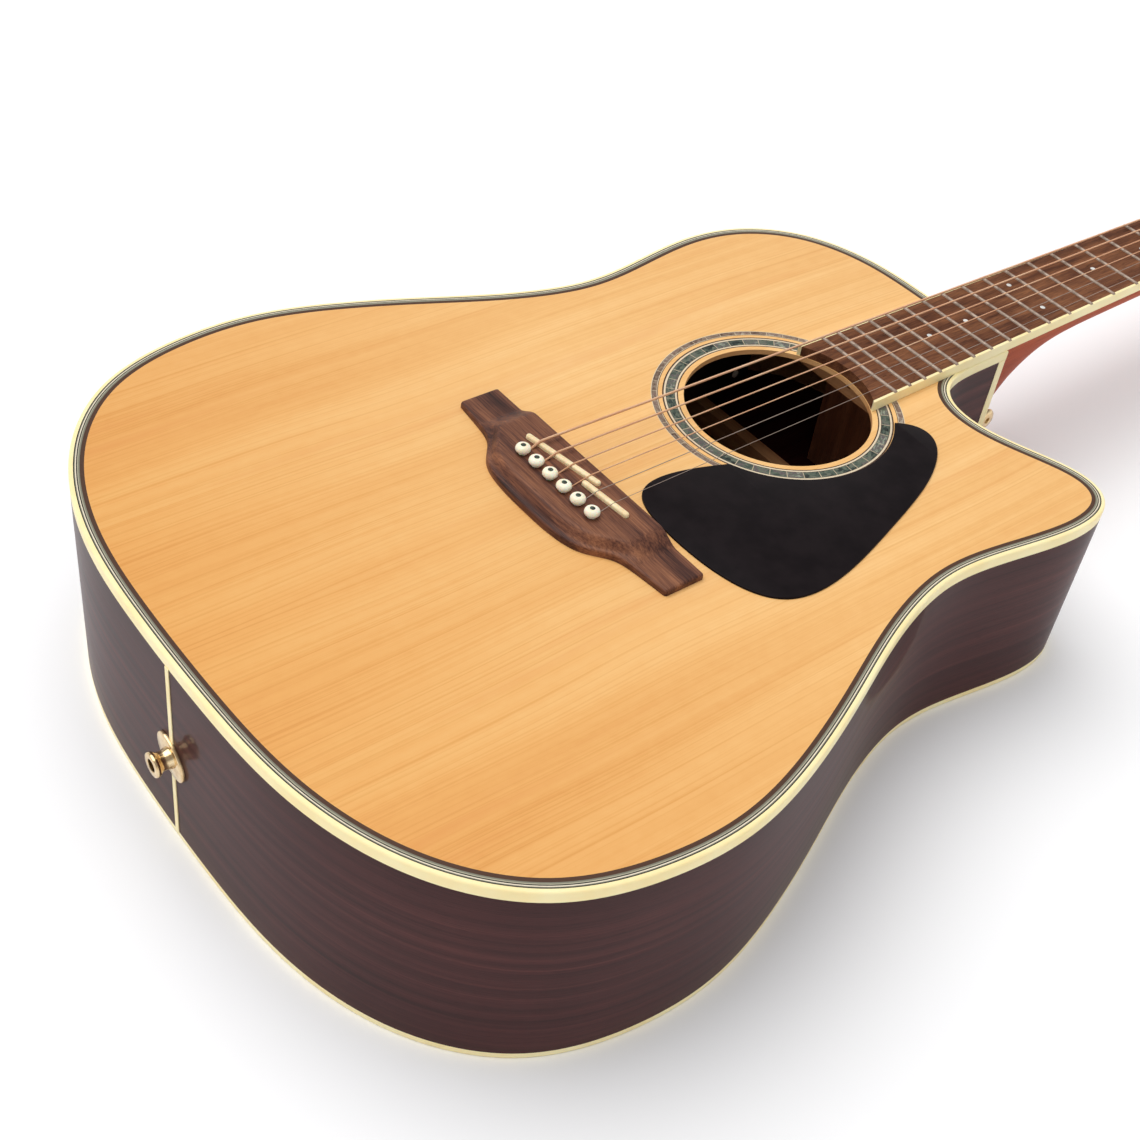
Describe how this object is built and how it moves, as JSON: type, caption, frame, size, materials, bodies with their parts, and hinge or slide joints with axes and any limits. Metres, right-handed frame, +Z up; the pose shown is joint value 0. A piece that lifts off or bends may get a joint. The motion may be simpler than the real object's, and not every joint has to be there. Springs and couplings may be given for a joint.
{
  "type": "acoustic guitar",
  "caption": "Cutaway flat-top steel-string guitar with turning tuners, pull-out bridge pins, a control panel and a battery drawer.",
  "frame": {"origin": "centre line of the back's flat outer face, below the end of the scale", "axes": "+Z up from the flat back, +Y towards the headstock, +X the cutaway (treble) side"},
  "size_m": [0.4038, 1.0643, 0.1244],
  "materials": {
    "spruce_top": "satin gloss honey spruce with fine straight grain",
    "rosewood_body": "gloss dark rosewood, fine streaks",
    "inner_wood": "raw pale wood",
    "block_wood": "raw mahogany",
    "neck_wood": "satin red-brown mahogany",
    "fingerboard_wood": "oiled rosewood with pores",
    "cream_plastic": "gloss cream plastic",
    "bone": "polished bone",
    "inlay": "shell and dyed wood lines",
    "pearl_dot": "pearl",
    "guard_black": "satin black plastic",
    "fret_metal": "polished nickel silver",
    "rod_steel": "plain steel",
    "gold_metal": "polished gold plate",
    "string_bronze": "bronze winding and plain steel",
    "pickup_brass": "piezo strip in a brass sleeve",
    "preamp_black": "fine matt black plastic",
    "button_grey": "light grey plastic",
    "battery_case": "printed metal jacket, no marks"
  },
  "bodies": {
    "root": {"soundboard": "spruce_top", "back": "rosewood_body", "sides": "rosewood_body", "linings": "block_wood", "end_blocks": "block_wood", "soundboard_braces": "inner_wood", "bridge_plate": "inner_wood", "back_braces": "inner_wood", "body_binding": "cream_plastic", "purfling": "inlay", "rosette": "inlay", "pickguard": "guard_black", "bridge": "fingerboard_wood", "saddles": "bone", "pickup": "pickup_brass", "neck": "neck_wood", "fretboard": "fingerboard_wood", "fretboard_binding": "cream_plastic", "frets": "fret_metal", "position_dots": "pearl_dot", "nut": "bone", "truss_rod": "rod_steel", "headstock_veneer": "fingerboard_wood", "tuner_housings": "gold_metal", "tuner_bushings": "gold_metal", "strings": "string_bronze", "strap_button": "gold_metal", "end_jack": "gold_metal", "preamp_housing": "preamp_black"},
    "bridge_pin_1": {"bridge_pin_1": "cream_plastic"},
    "bridge_pin_2": {"bridge_pin_2": "cream_plastic"},
    "bridge_pin_3": {"bridge_pin_3": "cream_plastic"},
    "bridge_pin_4": {"bridge_pin_4": "cream_plastic"},
    "bridge_pin_5": {"bridge_pin_5": "cream_plastic"},
    "bridge_pin_6": {"bridge_pin_6": "cream_plastic"},
    "tuner_key_1": {"tuner_key_1": "gold_metal"},
    "tuner_post_1": {"tuner_post_1": "gold_metal", "string_winding_1": "string_bronze"},
    "tuner_key_2": {"tuner_key_2": "gold_metal"},
    "tuner_post_2": {"tuner_post_2": "gold_metal", "string_winding_2": "string_bronze"},
    "tuner_key_3": {"tuner_key_3": "gold_metal"},
    "tuner_post_3": {"tuner_post_3": "gold_metal", "string_winding_3": "string_bronze"},
    "tuner_key_4": {"tuner_key_4": "gold_metal"},
    "tuner_post_4": {"tuner_post_4": "gold_metal", "string_winding_4": "string_bronze"},
    "tuner_key_5": {"tuner_key_5": "gold_metal"},
    "tuner_post_5": {"tuner_post_5": "gold_metal", "string_winding_5": "string_bronze"},
    "tuner_key_6": {"tuner_key_6": "gold_metal"},
    "tuner_post_6": {"tuner_post_6": "gold_metal", "string_winding_6": "string_bronze"},
    "preamp_knob_1": {"preamp_knob_1": "preamp_black"},
    "preamp_knob_2": {"preamp_knob_2": "preamp_black"},
    "preamp_knob_3": {"preamp_knob_3": "preamp_black"},
    "preamp_knob_4": {"preamp_knob_4": "preamp_black"},
    "preamp_button": {"preamp_button": "button_grey"},
    "battery_drawer": {"battery_drawer": "preamp_black", "battery": "battery_case"}
  },
  "joints": [
    {"name": "bridge_pin_1_pull", "type": "slide", "parent": "root", "child": "bridge_pin_1", "axis": [0, 0.0355, 0.9994], "range_m": [0, 0.03]},
    {"name": "bridge_pin_2_pull", "type": "slide", "parent": "root", "child": "bridge_pin_2", "axis": [0, 0.0355, 0.9994], "range_m": [0, 0.03]},
    {"name": "bridge_pin_3_pull", "type": "slide", "parent": "root", "child": "bridge_pin_3", "axis": [0, 0.0355, 0.9994], "range_m": [0, 0.03]},
    {"name": "bridge_pin_4_pull", "type": "slide", "parent": "root", "child": "bridge_pin_4", "axis": [0, 0.0355, 0.9994], "range_m": [0, 0.03]},
    {"name": "bridge_pin_5_pull", "type": "slide", "parent": "root", "child": "bridge_pin_5", "axis": [0, 0.0355, 0.9994], "range_m": [0, 0.03]},
    {"name": "bridge_pin_6_pull", "type": "slide", "parent": "root", "child": "bridge_pin_6", "axis": [0, 0.0355, 0.9994], "range_m": [0, 0.03]},
    {"name": "tuner_key_1_turn", "type": "hinge", "parent": "root", "child": "tuner_key_1", "pos_m": [-0.018, 0.76049, 0.03473], "axis": [-1, 0, 0], "continuous": true},
    {"name": "tuner_post_1_turn", "type": "hinge", "parent": "root", "child": "tuner_post_1", "pos_m": [-0.018, 0.7736, 0.05229], "axis": [0, 0.2762, 0.9611], "continuous": true},
    {"name": "tuner_key_2_turn", "type": "hinge", "parent": "root", "child": "tuner_key_2", "pos_m": [-0.02, 0.72012, 0.04633], "axis": [-1, 0, 0], "continuous": true},
    {"name": "tuner_post_2_turn", "type": "hinge", "parent": "root", "child": "tuner_post_2", "pos_m": [-0.02, 0.73323, 0.06389], "axis": [0, 0.2762, 0.9611], "continuous": true},
    {"name": "tuner_key_3_turn", "type": "hinge", "parent": "root", "child": "tuner_key_3", "pos_m": [-0.022, 0.67976, 0.05793], "axis": [-1, 0, 0], "continuous": true},
    {"name": "tuner_post_3_turn", "type": "hinge", "parent": "root", "child": "tuner_post_3", "pos_m": [-0.022, 0.69287, 0.07549], "axis": [0, 0.2762, 0.9611], "continuous": true},
    {"name": "tuner_key_4_turn", "type": "hinge", "parent": "root", "child": "tuner_key_4", "pos_m": [0.022, 0.67976, 0.05793], "axis": [1, 0, 0], "continuous": true},
    {"name": "tuner_post_4_turn", "type": "hinge", "parent": "root", "child": "tuner_post_4", "pos_m": [0.022, 0.69287, 0.07549], "axis": [0, 0.2762, 0.9611], "continuous": true},
    {"name": "tuner_key_5_turn", "type": "hinge", "parent": "root", "child": "tuner_key_5", "pos_m": [0.02, 0.72012, 0.04633], "axis": [1, 0, 0], "continuous": true},
    {"name": "tuner_post_5_turn", "type": "hinge", "parent": "root", "child": "tuner_post_5", "pos_m": [0.02, 0.73323, 0.06389], "axis": [0, 0.2762, 0.9611], "continuous": true},
    {"name": "tuner_key_6_turn", "type": "hinge", "parent": "root", "child": "tuner_key_6", "pos_m": [0.018, 0.76049, 0.03473], "axis": [1, 0, 0], "continuous": true},
    {"name": "tuner_post_6_turn", "type": "hinge", "parent": "root", "child": "tuner_post_6", "pos_m": [0.018, 0.7736, 0.05229], "axis": [0, 0.2762, 0.9611], "continuous": true},
    {"name": "preamp_knob_1_turn", "type": "hinge", "parent": "root", "child": "preamp_knob_1", "pos_m": [-0.14407, 0.1378, 0.04633], "axis": [-0.998, -0.0628, 0.0022], "range_deg": [-140, 140]},
    {"name": "preamp_knob_2_turn", "type": "hinge", "parent": "root", "child": "preamp_knob_2", "pos_m": [-0.14494, 0.15176, 0.04583], "axis": [-0.998, -0.0628, 0.0022], "range_deg": [-140, 140]},
    {"name": "preamp_knob_3_turn", "type": "hinge", "parent": "root", "child": "preamp_knob_3", "pos_m": [-0.14582, 0.16572, 0.04534], "axis": [-0.998, -0.0628, 0.0022], "range_deg": [-140, 140]},
    {"name": "preamp_knob_4_turn", "type": "hinge", "parent": "root", "child": "preamp_knob_4", "pos_m": [-0.1467, 0.17969, 0.04484], "axis": [-0.998, -0.0628, 0.0022], "range_deg": [-140, 140]},
    {"name": "preamp_button_press", "type": "slide", "parent": "root", "child": "preamp_button", "axis": [0.998, 0.0628, -0.0022], "range_m": [0, 0.0015], "stiffness_N_per_m": 400, "springref_m": -0.001},
    {"name": "battery_drawer_slide", "type": "slide", "parent": "root", "child": "battery_drawer", "axis": [-0.998, -0.0628, 0.0022], "range_m": [0, 0.05]}
  ],
  "couplings": [
    {"joint": "tuner_post_1_turn", "follows": "tuner_key_1_turn", "ratio": -0.071429},
    {"joint": "tuner_post_2_turn", "follows": "tuner_key_2_turn", "ratio": -0.071429},
    {"joint": "tuner_post_3_turn", "follows": "tuner_key_3_turn", "ratio": -0.071429},
    {"joint": "tuner_post_4_turn", "follows": "tuner_key_4_turn", "ratio": -0.071429},
    {"joint": "tuner_post_5_turn", "follows": "tuner_key_5_turn", "ratio": -0.071429},
    {"joint": "tuner_post_6_turn", "follows": "tuner_key_6_turn", "ratio": -0.071429}
  ]
}
